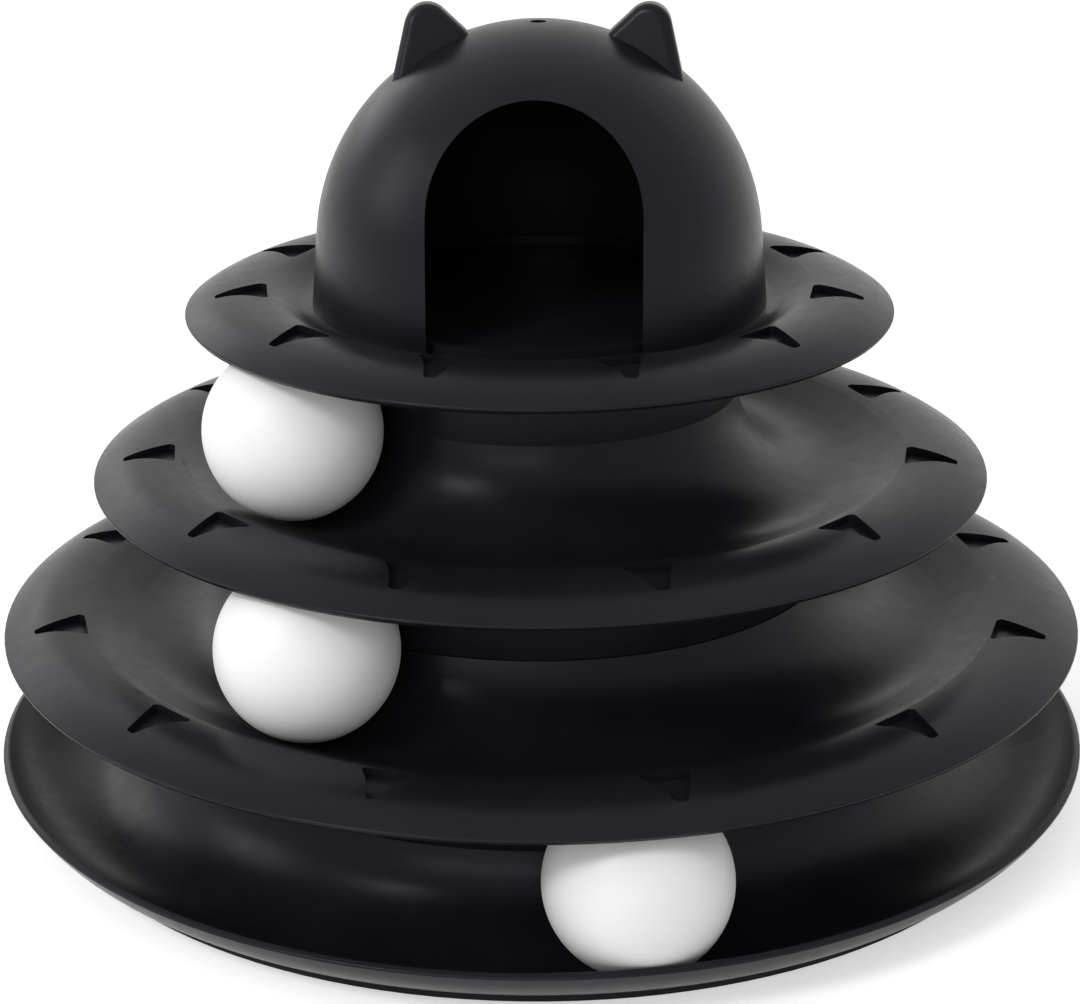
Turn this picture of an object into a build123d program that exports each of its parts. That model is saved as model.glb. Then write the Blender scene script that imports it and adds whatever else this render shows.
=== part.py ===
from build123d import *
import os
from math import acos, atan2, cos, degrees, hypot, radians, sin, sqrt, tan

# Cat ball track toy: a base tray and two stacked rings, each with a ball in a round track,
# a top ring that closes the stack, and a domed lid with cat ears and a doorway.
# Millimetres, +Z up. The origin is the middle of the surface that the toy stands on,
# and the doorway faces -Y.

# Walls, fits and cuts
wall = 1.7
fit_clearance = 0.3
overrun = 2.0

# Balls and their tracks
ball_diameter = 38.6
ball_wall = 1.2
ball_gap = 0.3
track_clearance = 0.5
lower_roof_clearance = 0.8
upper_roof_clearance = 1.2
upper_orbit = 64.2
track_step = 21.0

# Where each ball lies, in degrees from the front towards +X
lower_ball_angle = 11.8
middle_ball_angle = -32.9
upper_ball_angle = -53.5

# Base tray and its pads
pad_height = 1.0
pad_diameter = 12.0
pad_angle = 45.0
pad_count = 4
foot_ring_width = 16.4
rim_angle = -29.0

# Height of each seat over its own track's floor, and the collar that keeps a tier in place
base_seat_rise = 17.0
lower_seat_rise = 14.7
upper_seat_rise = 18.3
collar_height = 4.0
collar_depth = 3.0

# Brims: a convex ring of a given width between its crest and its drooping edge
brim_width = 20.0
brim_crown = 2.2
crest_round = 10.0
edge_round_share = 0.28
lower_brim_overhang = 16.6
upper_brim_overhang = 15.6
top_brim_overhang = 14.6
lower_brim_nest = 2.0
upper_brim_nest = 3.0
top_brim_nest = 2.3
lower_crest_rise = 2.7
upper_crest_rise = 2.4
top_crest_rise = 2.9

# Claw slots in the brims, with blunt tips, closed from below by a thin strip
slot_inset = 18.4
slot_width = 13.4
slot_tip_width = 2.6
slot_length = 11.5
slot_hollow = 0.6
slot_round = 1.0
slot_backing = 0.8
lower_slots = 12
upper_slots = 11
top_slots = 11

# Top ring
cove_drop = 3.2
cove_run = 7.5
cove_radius = 5.0
dome_margin = 0.8
rib_width = 1.6
rib_height = 1.8

# Dome, its doorway and the bore at its top
dome_radius = 49.3
dome_draft = 4.8
dome_centre_rise = 12.0
doorway_width = 45.0
doorway_spring = 27.9
teaser_bore = 3.5

# Ear outline, as shares of the dome's radius from the dome's centre, and its faces
ear_outer_share = (0.652, 0.69)
ear_tip_share = (0.544, 1.175)
ear_inner_share = (0.262, 0.912)
ear_tip_thickness = 5.4
ear_tip_round = 4.9
ear_edge_round = 2.2
ear_lean = 14.0
ear_turn = 13.6

# Worked out from the sizes above
ball_radius = ball_diameter / 2
track_radius = ball_radius + track_clearance
middle_orbit = upper_orbit + track_step
lower_orbit = middle_orbit + track_step


def tier_pitch(roof_clearance):
    """Rise from one track's floor to the next, so that a ball just passes under the track above it."""
    centre_distance = track_radius + wall + ball_radius + roof_clearance
    return sqrt(centre_distance**2 - track_step**2) + ball_radius + ball_gap - track_radius


base_floor = pad_height + wall
lower_floor = base_floor + tier_pitch(lower_roof_clearance)
upper_floor = lower_floor + tier_pitch(upper_roof_clearance)

base_seat = base_floor + base_seat_rise
lower_seat = lower_floor + lower_seat_rise
upper_seat = upper_floor + upper_seat_rise

# Each brim's crest stands over the top of the ball that it shelters, and its edge hangs a little lower
lower_ball_top = base_floor + ball_gap + ball_diameter
middle_ball_top = lower_floor + ball_gap + ball_diameter
upper_ball_top = upper_floor + ball_gap + ball_diameter
lower_brim = lower_ball_top - lower_brim_nest
upper_brim = middle_ball_top - upper_brim_nest
top_brim = upper_ball_top - top_brim_nest
lower_crest = lower_ball_top + lower_crest_rise
upper_crest = middle_ball_top + upper_crest_rise


def brim_reach(sheltered_orbit, overhang, orbit, floor, crest_height):
    """Brim radius that passes the ball it shelters and leaves its crest a wall clear of its own track."""
    crest_depth = floor + track_radius - crest_height
    track_reach = orbit + sqrt(max(track_radius**2 - crest_depth**2, 0))
    return max(sheltered_orbit + overhang, track_reach + wall + brim_width)


lower_brim_radius = brim_reach(lower_orbit, lower_brim_overhang, middle_orbit, lower_floor, lower_crest)
upper_brim_radius = brim_reach(middle_orbit, upper_brim_overhang, upper_orbit, upper_floor, upper_crest)

# The top brim reaches past the upper ball, and leaves room inside its cove for the dome's foot
dome_foot_radius = dome_radius / cos(radians(dome_draft)) + dome_centre_rise * tan(radians(dome_draft))
top_brim_radius = max(
    upper_orbit + top_brim_overhang,
    dome_foot_radius + dome_margin + cove_run + brim_width,
)

# The dome's shelf lies a set drop below the top ring's crest, and both rise where it has to clear the ball
shelf_radius = top_brim_radius - brim_width - cove_run
shelf_reach = max(upper_orbit - shelf_radius, 0)
clear_radius = ball_radius + upper_roof_clearance + wall
clear_rise = sqrt(max(clear_radius**2 - shelf_reach**2, 0))
shelf = max(upper_ball_top + top_crest_rise - cove_drop, upper_ball_top - ball_radius + clear_rise)
top_crest = shelf + cove_drop
dome_centre = shelf + dome_centre_rise


def touch_angle(crest, centre, radius):
    """Angle at which a straight wall from the crest runs smoothly into a round below it."""
    across = crest[0] - centre[0]
    up = crest[1] - centre[1]
    return degrees(atan2(up, across) - acos(radius / hypot(across, up)))


def on_round(centre, radius, angle):
    """Point on a round, in the plane of a section."""
    return (
        centre[0] + radius * cos(radians(angle)),
        centre[1] + radius * sin(radians(angle)),
    )


def round_brim(section, edge, crest):
    """Round a brim's edge, and its crest on both faces with the wall's thickness kept."""
    fillet(section.vertices().sort_by_distance(crest)[1], crest_round - wall)
    fillet(section.vertices().sort_by_distance(crest)[0], crest_round)
    fillet(section.vertices().sort_by_distance(edge)[:2], wall * edge_round_share)


def finish_column(centre, seat):
    """Cut the column's wall flat at its seat, and add the collar that enters the hub of the tier above."""
    hub_radius = centre[0] - track_radius
    collar_radius = hub_radius - wall - fit_clearance
    ledge_width = hub_radius + wall / 2 - (collar_radius - wall)
    cut_size = (2 * (wall + overrun), 2 * track_radius)
    with Locations((hub_radius, seat)):
        Rectangle(*cut_size, align=(Align.CENTER, Align.MIN), mode=Mode.SUBTRACT)
    with Locations((collar_radius - wall, seat - collar_depth)):
        Rectangle(wall, collar_depth + collar_height, align=Align.MIN)
        Rectangle(ledge_width, wall, align=Align.MIN)
    with Locations(centre):
        Circle(track_radius, mode=Mode.SUBTRACT)


def slot_pattern(brim_radius, brim, count):
    """Slots in a brim, each with its base near the crest and its tip outwards, even about the front."""
    left = (0, slot_width / 2)
    right = (0, -slot_width / 2)
    left_tip = (slot_length, slot_tip_width / 2)
    right_tip = (slot_length, -slot_tip_width / 2)
    with BuildSketch() as slot:
        with BuildLine():
            Line(right, left)
            SagittaArc(left, left_tip, -slot_hollow)
            Line(left_tip, right_tip)
            SagittaArc(right_tip, right, -slot_hollow)
        make_face()
        fillet(slot.vertices(), slot_round)
    with BuildSketch(Plane.XY.offset(brim - wall)) as pattern:
        with PolarLocations(brim_radius - slot_inset, count, start_angle=180 / count - 90):
            add(slot.sketch)
    return pattern.sketch


def slot_floor(edge, crest):
    """Section of the strip that follows a brim's underside and closes its slots."""
    strip_middle = edge[0] - slot_inset + slot_length / 2
    strip_width = slot_length + 2 * slot_backing
    strip_reach = 2 * (crest[1] - edge[1] + brim_crown + wall + slot_backing)
    with BuildSketch(Plane.XZ) as strip:
        with BuildLine():
            SagittaArc(edge, crest, -brim_crown)
            offset(amount=wall + slot_backing, side=Side.LEFT)
        make_face()
        with BuildLine():
            SagittaArc(edge, crest, -brim_crown)
            offset(amount=wall, side=Side.LEFT)
        make_face(mode=Mode.SUBTRACT)
        with Locations((strip_middle, edge[1])):
            Rectangle(strip_width, strip_reach, mode=Mode.INTERSECT)
    return strip.sketch


def track_ring(brim_radius, brim, crest_height, orbit, floor, seat, hub_radius, hub_foot, slots):
    """One tier: brim, track, column with its collar, and the hub that stands on the tier below."""
    centre = (orbit, floor + track_radius)
    edge = (brim_radius, brim + wall / 2)
    crest = (brim_radius - brim_width, crest_height)
    touch = touch_angle(crest, centre, track_radius)
    column_foot = on_round(centre, track_radius, -180)
    slot_depth = crest_height - brim + brim_crown + wall + overrun
    with BuildPart() as ring:
        with BuildSketch(Plane.XZ) as section:
            with BuildLine():
                SagittaArc(edge, crest, -brim_crown)
                Line(crest, on_round(centre, track_radius, touch))
                CenterArc(centre, track_radius, touch, -180 - touch)
                Line(column_foot, (column_foot[0], column_foot[1] + track_radius))
                offset(amount=wall, side=Side.LEFT)
            make_face()
            round_brim(section, edge, crest)
            with Locations((hub_radius - wall, hub_foot)):
                Rectangle(wall, floor - hub_foot, align=Align.MIN)
            finish_column(centre, seat)
        revolve(axis=Axis.Z)
        extrude(slot_pattern(brim_radius, brim, slots), amount=slot_depth, mode=Mode.SUBTRACT)
        revolve(slot_floor(edge, crest), axis=Axis.Z)
    return ring.part


def ball(orbit, floor, angle):
    """A hollow ball resting in its track."""
    across = orbit * sin(radians(angle))
    forward = orbit * cos(radians(angle))
    with BuildPart() as shell:
        with Locations((across, -forward, floor + ball_gap + ball_radius)):
            Sphere(ball_radius)
            Sphere(ball_radius - ball_wall, mode=Mode.SUBTRACT)
    return shell.part


def foot_pad(angle):
    """A soft pad glued under the foot ring."""
    with BuildPart() as pad:
        with BuildSketch():
            with PolarLocations(lower_orbit, 1, start_angle=angle):
                Circle(pad_diameter / 2)
        extrude(amount=pad_height)
    return pad.part


# Base tray: the lowest track, a flat foot ring under it and an open middle
base_centre = (lower_orbit, base_floor + track_radius)
base_column_foot = on_round(base_centre, track_radius, -180)
with BuildPart() as base_tray:
    with BuildSketch(Plane.XZ) as base_section:
        with BuildLine():
            CenterArc(base_centre, track_radius, rim_angle, -180 - rim_angle)
            Line(base_column_foot, (base_column_foot[0], base_column_foot[1] + track_radius))
            offset(amount=wall, side=Side.LEFT)
        make_face()
        rim = on_round(base_centre, track_radius, rim_angle)
        fillet(base_section.vertices().sort_by_distance(rim)[:2], wall * edge_round_share)
        with Locations((lower_orbit, pad_height)):
            Rectangle(foot_ring_width, track_radius / 2, align=(Align.CENTER, Align.MIN))
        finish_column(base_centre, base_seat)
    revolve(axis=Axis.Z)

# The two rings, each standing on the seat below it
lower_track_ring = track_ring(
    lower_brim_radius, lower_brim, lower_crest, middle_orbit, lower_floor, lower_seat,
    lower_orbit - track_radius, base_seat, lower_slots,
)
upper_track_ring = track_ring(
    upper_brim_radius, upper_brim, upper_crest, upper_orbit, upper_floor, upper_seat,
    middle_orbit - track_radius, lower_seat, upper_slots,
)

# Top ring: a brim, a cove inside its crest, and a closed floor with a shelf and rib for the dome
top_edge = (top_brim_radius, top_brim + wall / 2)
top_inner = (top_brim_radius - brim_width, top_crest)
top_hub_radius = upper_orbit - track_radius
top_slot_depth = top_crest - top_brim + brim_crown + wall + overrun
cove_centre = (shelf_radius, shelf + cove_radius)
cove_start = touch_angle(top_inner, cove_centre, cove_radius)
rib_radius = dome_foot_radius - wall / cos(radians(dome_draft)) - fit_clearance
rib_radius -= rib_height * tan(radians(dome_draft))
with BuildPart() as top_ring:
    with BuildSketch(Plane.XZ) as top_section:
        with BuildLine():
            SagittaArc(top_edge, top_inner, -brim_crown)
            Line(top_inner, on_round(cove_centre, cove_radius, cove_start))
            CenterArc(cove_centre, cove_radius, cove_start, -90 - cove_start)
            Line((shelf_radius, shelf), (0, shelf))
            offset(amount=wall, side=Side.LEFT)
        make_face()
        round_brim(top_section, top_edge, top_inner)
        with Locations((top_hub_radius - wall, upper_seat)):
            Rectangle(wall, shelf - wall / 2 - upper_seat, align=Align.MIN)
        with Locations((rib_radius - rib_width, shelf - wall / 2)):
            Rectangle(rib_width, rib_height + wall / 2, align=Align.MIN)
    revolve(axis=Axis.Z)
    extrude(slot_pattern(top_brim_radius, top_brim, top_slots), amount=top_slot_depth, mode=Mode.SUBTRACT)
    revolve(slot_floor(top_edge, top_inner), axis=Axis.Z)

# One ear, to the right of the doorway: a rounded outline between two leaning faces
ear_outer = (dome_radius * ear_outer_share[0], dome_centre + dome_radius * ear_outer_share[1])
ear_tip = (dome_radius * ear_tip_share[0], dome_centre + dome_radius * ear_tip_share[1])
ear_inner = (dome_radius * ear_inner_share[0], dome_centre + dome_radius * ear_inner_share[1])
with BuildPart() as ear:
    with BuildSketch(Plane.XZ) as ear_outline:
        Polygon(ear_outer, ear_tip, ear_inner, (ear_inner[0], ear_outer[1]), align=None)
        fillet(ear_outline.vertices().sort_by(Axis.Y)[-1], ear_tip_round)
    extrude(amount=dome_radius, both=True)
    for side in (-1, 1):
        face_inwards = (tan(radians(ear_turn)), -side, -tan(radians(ear_lean)))
        face_point = (ear_tip[0], side * ear_tip_thickness / 2, ear_tip[1])
        split(bisect_by=Plane(origin=face_point, z_dir=face_inwards), keep=Keep.TOP)
    front_face = ear.faces().sort_by(Axis.Y)[0]
    back_face = ear.faces().sort_by(Axis.Y)[-1]
    outline_edges = front_face.edges().sort_by(Axis.Z)[-3:] + back_face.edges().sort_by(Axis.Z)[-3:]
    fillet(outline_edges, ear_edge_round)

# Dome: a round shell on a slightly flared skirt, with the ears, the doorway and the bore at its top
tangent_point = (
    dome_radius * cos(radians(dome_draft)),
    dome_centre + dome_radius * sin(radians(dome_draft)),
)
inner_radius = dome_radius - wall
inner_tangent_point = (
    inner_radius * cos(radians(dome_draft)),
    dome_centre + inner_radius * sin(radians(dome_draft)),
)
inner_foot_radius = dome_foot_radius - wall / cos(radians(dome_draft))
with BuildPart() as cat_dome:
    with BuildSketch(Plane.XZ):
        with BuildLine():
            Polyline((0, dome_centre + dome_radius), (0, shelf), (dome_foot_radius, shelf), tangent_point)
            CenterArc((0, dome_centre), dome_radius, dome_draft, 90 - dome_draft)
        make_face()
    revolve(axis=Axis.Z)
    add(ear.part)
    mirror(ear.part, about=Plane.YZ)
    with BuildSketch(Plane.XZ):
        with BuildLine():
            Polyline(
                (0, dome_centre + inner_radius), (0, shelf), (inner_foot_radius, shelf), inner_tangent_point
            )
            CenterArc((0, dome_centre), inner_radius, dome_draft, 90 - dome_draft)
        make_face()
    revolve(axis=Axis.Z, mode=Mode.SUBTRACT)
    with BuildSketch(Plane.XZ):
        with Locations((0, shelf + doorway_spring)):
            Circle(doorway_width / 2)
            Rectangle(doorway_width, doorway_spring + overrun, align=(Align.CENTER, Align.MAX))
    extrude(amount=dome_foot_radius + overrun, mode=Mode.SUBTRACT)
    with Locations((0, 0, dome_centre + dome_radius)):
        Hole(teaser_bore / 2, depth=wall + overrun)

# Balls, one in each track
lower_ball = ball(lower_orbit, base_floor, lower_ball_angle)
middle_ball = ball(middle_orbit, lower_floor, middle_ball_angle)
upper_ball = ball(upper_orbit, upper_floor, upper_ball_angle)

pieces = {
    "base_tray": base_tray.part,
    "lower_track_ring": lower_track_ring,
    "upper_track_ring": upper_track_ring,
    "top_ring": top_ring.part,
    "cat_dome": cat_dome.part,
    "lower_ball": lower_ball,
    "middle_ball": middle_ball,
    "upper_ball": upper_ball,
}
for number in range(pad_count):
    pieces[f"foot_pad_{number + 1}"] = foot_pad(pad_angle + number * 360 / pad_count)

os.makedirs("parts", exist_ok=True)
for name, piece in pieces.items():
    piece.label = name
    export_step(piece, f"parts/{name}.step")
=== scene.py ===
import math

import bpy
from mathutils import Matrix, Vector

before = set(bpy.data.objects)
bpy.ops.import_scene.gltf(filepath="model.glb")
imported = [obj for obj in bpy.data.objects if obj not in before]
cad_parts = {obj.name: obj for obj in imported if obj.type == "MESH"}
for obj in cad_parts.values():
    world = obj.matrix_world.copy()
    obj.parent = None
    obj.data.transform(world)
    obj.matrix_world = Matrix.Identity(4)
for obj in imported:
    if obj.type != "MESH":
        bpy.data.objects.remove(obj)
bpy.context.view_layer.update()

# Photo's camera, in metres and degrees, worked out from the rims, tracks and balls
IMAGE_WIDTH = 1080
CAMERA_PLACE = (0.01516, -0.57999, 0.2756)
CAMERA_YAW = -1.51
CAMERA_PITCH = 20.01
CAMERA_ROLL = -0.28
FOCAL_PIXELS = 2693.2
SENSOR_WIDTH = 36.0
CLIP_NEAR = 0.01
CLIP_FAR = 50.0

# Light and floor: strengths where one is white, and the floor's half width in metres
WORLD_LEVEL = 0.66
BACKGROUND_LEVEL = 1.0
FLOOR_GLOW = 0.62
FLOOR_HALF = 6.0

# Lamps: places, targets and sizes in metres, power in watts
LAMPS = {
    "key": {"place": (-0.69, -0.76, 0.88), "target": (0.0, 0.0, 0.08), "size": (0.34, 0.26), "power": 5.3},
    "side": {"place": (-1.2, -0.05, 0.66), "target": (0.0, 0.0, 0.10), "size": (0.5, 0.6), "power": 2.7},
    "rim": {"place": (-0.80, 0.95, 0.55), "target": (0.0, 0.0, 0.08), "size": (0.6, 0.4), "power": 1.0},
    "fill": {"place": (-0.35, -1.35, 0.25), "target": (0.0, 0.0, 0.06), "size": (1.0, 0.3), "power": 2.2},
}

# Tones of each material, by the level of the noise that mixes them
BLACK_TONES = (
    (0.3, (0.0066, 0.0068, 0.0092)),
    (0.52, (0.0088, 0.0090, 0.0120)),
    (0.75, (0.0114, 0.0116, 0.0148)),
)
WHITE_TONES = (
    (0.3, (0.80, 0.80, 0.795)),
    (0.55, (0.83, 0.83, 0.828)),
    (0.75, (0.85, 0.85, 0.85)),
)
RUBBER_TONES = ((0.3, (0.03, 0.03, 0.03)), (0.7, (0.05, 0.05, 0.049)))
FLOOR_TONES = ((0.0, (0.80, 0.80, 0.80)), (1.0, (0.84, 0.84, 0.84)))

# Gloss of the plastics, and the band of a noise that its roughness follows
PLASTIC_IOR = 1.46
BLACK_GLOSS = 0.15
BLACK_GLOSS_TINT = (0.9, 0.91, 1.0)
WHITE_GLOSS = 0.4
RUBBER_GLOSS = 0.3
PLAIN_TINT = (1.0, 1.0, 1.0)
NOISE_BAND = (0.3, 0.7)

BLACK_NODES = ("base_tray", "lower_track_ring", "upper_track_ring", "top_ring", "cat_dome")
BALL_NODES = ("lower_ball", "middle_ball", "upper_ball")
PAD_NODES = ("foot_pad_1", "foot_pad_2", "foot_pad_3", "foot_pad_4")


class Nodes:
    """A material's node tree, with short calls to add and join nodes."""

    def __init__(self, name):
        self.material = bpy.data.materials.new(name)
        self.material.use_nodes = True
        self.tree = self.material.node_tree
        self.tree.nodes.clear()
        self.output = self.tree.nodes.new("ShaderNodeOutputMaterial")

    def add(self, kind, **settings):
        node = self.tree.nodes.new(kind)
        for key, value in settings.items():
            setattr(node, key, value)
        return node

    def join(self, source, target):
        self.tree.links.new(source, target)

    def place(self):
        return self.add("ShaderNodeTexCoord").outputs["Object"]

    def noise(self, place, scale, detail, rough):
        node = self.add("ShaderNodeTexNoise")
        node.inputs["Scale"].default_value = scale
        node.inputs["Detail"].default_value = detail
        node.inputs["Roughness"].default_value = rough
        self.join(place, node.inputs["Vector"])
        return node.outputs["Fac"]

    def spread(self, value, band, low, high):
        """Carry a value from a band to the range from low to high."""
        node = self.add("ShaderNodeMapRange")
        node.inputs["From Min"].default_value, node.inputs["From Max"].default_value = band
        node.inputs["To Min"].default_value = low
        node.inputs["To Max"].default_value = high
        self.join(value, node.inputs["Value"])
        return node.outputs["Result"]

    def ramp(self, value, stops):
        node = self.add("ShaderNodeValToRGB")
        elements = node.color_ramp.elements
        while len(elements) < len(stops):
            elements.new(0.5)
        for element, (position, colour) in zip(elements, stops):
            element.position = position
            element.color = (*colour, 1.0)
        self.join(value, node.inputs["Fac"])
        return node.outputs["Color"]

    def sum(self, first, second):
        node = self.add("ShaderNodeMath", operation="ADD")
        self.join(first, node.inputs[0])
        self.join(second, node.inputs[1])
        return node.outputs["Value"]

    def bump(self, height, strength, distance, normal=None):
        node = self.add("ShaderNodeBump")
        node.inputs["Strength"].default_value = strength
        node.inputs["Distance"].default_value = distance
        self.join(height, node.inputs["Height"])
        if normal is not None:
            self.join(normal, node.inputs["Normal"])
        return node.outputs["Normal"]

    def plastic(self, colour, rough, normal, gloss, tint=PLAIN_TINT):
        shader = self.add("ShaderNodeBsdfPrincipled")
        shader.inputs["Specular IOR Level"].default_value = gloss
        shader.inputs["Specular Tint"].default_value = (*tint, 1.0)
        shader.inputs["IOR"].default_value = PLASTIC_IOR
        self.join(colour, shader.inputs["Base Color"])
        self.join(rough, shader.inputs["Roughness"])
        self.join(normal, shader.inputs["Normal"])
        self.join(shader.outputs["BSDF"], self.output.inputs["Surface"])
        return self.material


def black_plastic():
    """Black moulded plastic: faint flow clouds, a soft mottle and a fine grain."""
    nodes = Nodes("black_plastic")
    place = nodes.place()
    clouds = nodes.noise(place, scale=26.0, detail=4.0, rough=0.55)
    mottle = nodes.noise(place, scale=240.0, detail=3.0, rough=0.6)
    grain = nodes.noise(place, scale=2600.0, detail=2.0, rough=0.6)
    colour = nodes.ramp(clouds, BLACK_TONES)
    rough_clouds = nodes.spread(clouds, NOISE_BAND, low=0.27, high=0.33)
    rough_mottle = nodes.spread(mottle, NOISE_BAND, low=-0.03, high=0.03)
    rough = nodes.sum(rough_clouds, rough_mottle)
    fine = nodes.bump(grain, strength=0.07, distance=0.0002)
    normal = nodes.bump(mottle, strength=0.025, distance=0.0006, normal=fine)
    return nodes.plastic(colour, rough, normal, BLACK_GLOSS, BLACK_GLOSS_TINT)


def white_plastic():
    """Smooth white moulded plastic with a soft satin face and very faint unevenness."""
    nodes = Nodes("white_plastic")
    place = nodes.place()
    clouds = nodes.noise(place, scale=38.0, detail=3.0, rough=0.5)
    grain = nodes.noise(place, scale=1500.0, detail=2.0, rough=0.5)
    colour = nodes.ramp(clouds, WHITE_TONES)
    rough = nodes.spread(clouds, NOISE_BAND, low=0.38, high=0.48)
    normal = nodes.bump(grain, strength=0.05, distance=0.0002)
    return nodes.plastic(colour, rough, normal, WHITE_GLOSS)


def pad_rubber():
    """Dull dark rubber with a fine porous face."""
    nodes = Nodes("pad_rubber")
    place = nodes.place()
    clouds = nodes.noise(place, scale=120.0, detail=3.0, rough=0.5)
    grain = nodes.noise(place, scale=1800.0, detail=3.0, rough=0.6)
    colour = nodes.ramp(clouds, RUBBER_TONES)
    rough = nodes.spread(grain, NOISE_BAND, low=0.75, high=0.9)
    normal = nodes.bump(grain, strength=0.4, distance=0.0003)
    return nodes.plastic(colour, rough, normal, RUBBER_GLOSS)


def give(names, material):
    """Put a material on CAD nodes in place of their own."""
    for name in names:
        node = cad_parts[name]
        node.data.materials.clear()
        node.data.materials.append(material)


def seen_directly(tree):
    """One for the camera's own rays and for those in reflections and clear pieces, zero for the rest."""
    path = tree.nodes.new("ShaderNodeLightPath")
    seen = tree.nodes.new("ShaderNodeMath")
    seen.operation = "ADD"
    tree.links.new(path.outputs["Is Camera Ray"], seen.inputs[0])
    tree.links.new(path.outputs["Is Glossy Ray"], seen.inputs[1])
    clear = tree.nodes.new("ShaderNodeMath")
    clear.operation = "ADD"
    clear.use_clamp = True
    tree.links.new(seen.outputs["Value"], clear.inputs[0])
    tree.links.new(path.outputs["Is Transmission Ray"], clear.inputs[1])
    return clear.outputs["Value"]


def make_floor():
    """A wide pale floor that looks white to the camera and in reflections, and keeps the toy's shadow."""
    mesh = bpy.data.meshes.new("floor")
    corners = [(x * FLOOR_HALF, y * FLOOR_HALF, 0.0) for x, y in ((-1, -1), (1, -1), (1, 1), (-1, 1))]
    mesh.from_pydata(corners, [], [(0, 1, 2, 3)])
    floor = bpy.data.objects.new("floor", mesh)
    bpy.context.scene.collection.objects.link(floor)
    nodes = Nodes("floor_white")
    cloud = nodes.noise(nodes.place(), scale=3.0, detail=2.0, rough=0.5)
    tone = nodes.ramp(cloud, FLOOR_TONES)
    shader = nodes.add("ShaderNodeBsdfDiffuse")
    nodes.join(tone, shader.inputs["Color"])
    glow = nodes.add("ShaderNodeEmission")
    nodes.join(tone, glow.inputs["Color"])
    glow_level = nodes.spread(seen_directly(nodes.tree), (0.0, 1.0), low=0.0, high=FLOOR_GLOW)
    nodes.join(glow_level, glow.inputs["Strength"])
    both = nodes.add("ShaderNodeAddShader")
    nodes.join(shader.outputs["BSDF"], both.inputs[0])
    nodes.join(glow.outputs["Emission"], both.inputs[1])
    nodes.join(both.outputs["Shader"], nodes.output.inputs["Surface"])
    mesh.materials.append(nodes.material)


def make_background(tree, level):
    """A white background of a given strength."""
    background = tree.nodes.new("ShaderNodeBackground")
    background.inputs["Color"].default_value = (1.0, 1.0, 1.0, 1.0)
    background.inputs["Strength"].default_value = level
    return background.outputs["Background"]


def make_world():
    """White to the camera and in reflections, and a plain grey light on everything else."""
    world = bpy.data.worlds.new("studio")
    world.use_nodes = True
    tree = world.node_tree
    tree.nodes.clear()
    output = tree.nodes.new("ShaderNodeOutputWorld")
    mix = tree.nodes.new("ShaderNodeMixShader")
    tree.links.new(seen_directly(tree), mix.inputs["Fac"])
    tree.links.new(make_background(tree, WORLD_LEVEL), mix.inputs[1])
    tree.links.new(make_background(tree, BACKGROUND_LEVEL), mix.inputs[2])
    tree.links.new(mix.outputs["Shader"], output.inputs["Surface"])
    bpy.context.scene.world = world


def make_lamp(name, place, target, size, power):
    """A soft rectangular lamp that faces its target."""
    light = bpy.data.lights.new(name, "AREA")
    light.shape = "RECTANGLE"
    light.size, light.size_y = size
    light.energy = power
    lamp = bpy.data.objects.new(name, light)
    bpy.context.scene.collection.objects.link(lamp)
    lamp.location = place
    lamp.rotation_mode = "QUATERNION"
    lamp.rotation_quaternion = (Vector(target) - Vector(place)).to_track_quat("-Z", "Y")


def make_camera():
    """The photo's camera, turned by its yaw, pitch and roll."""
    yaw, pitch, roll = (math.radians(angle) for angle in (CAMERA_YAW, CAMERA_PITCH, CAMERA_ROLL))
    level = Vector((math.sin(yaw), math.cos(yaw), 0.0))
    side = Vector((math.cos(yaw), -math.sin(yaw), 0.0))
    rise = Vector((0.0, 0.0, 1.0))
    ahead = math.cos(pitch) * level - math.sin(pitch) * rise
    above = math.sin(pitch) * level + math.cos(pitch) * rise
    right = math.cos(roll) * side + math.sin(roll) * above
    up = -math.sin(roll) * side + math.cos(roll) * above
    data = bpy.data.cameras.new("camera")
    data.sensor_fit = "HORIZONTAL"
    data.sensor_width = SENSOR_WIDTH
    data.lens = FOCAL_PIXELS / IMAGE_WIDTH * SENSOR_WIDTH
    data.clip_start = CLIP_NEAR
    data.clip_end = CLIP_FAR
    camera = bpy.data.objects.new("camera", data)
    bpy.context.scene.collection.objects.link(camera)
    turn = Matrix((right, up, -ahead)).transposed().to_4x4()
    camera.matrix_world = Matrix.Translation(CAMERA_PLACE) @ turn
    bpy.context.scene.camera = camera


give(BLACK_NODES, black_plastic())
give(BALL_NODES, white_plastic())
give(PAD_NODES, pad_rubber())
make_floor()
make_world()
for lamp_name, settings in LAMPS.items():
    make_lamp(lamp_name, **settings)
make_camera()
bpy.context.scene.view_settings.view_transform = "Standard"
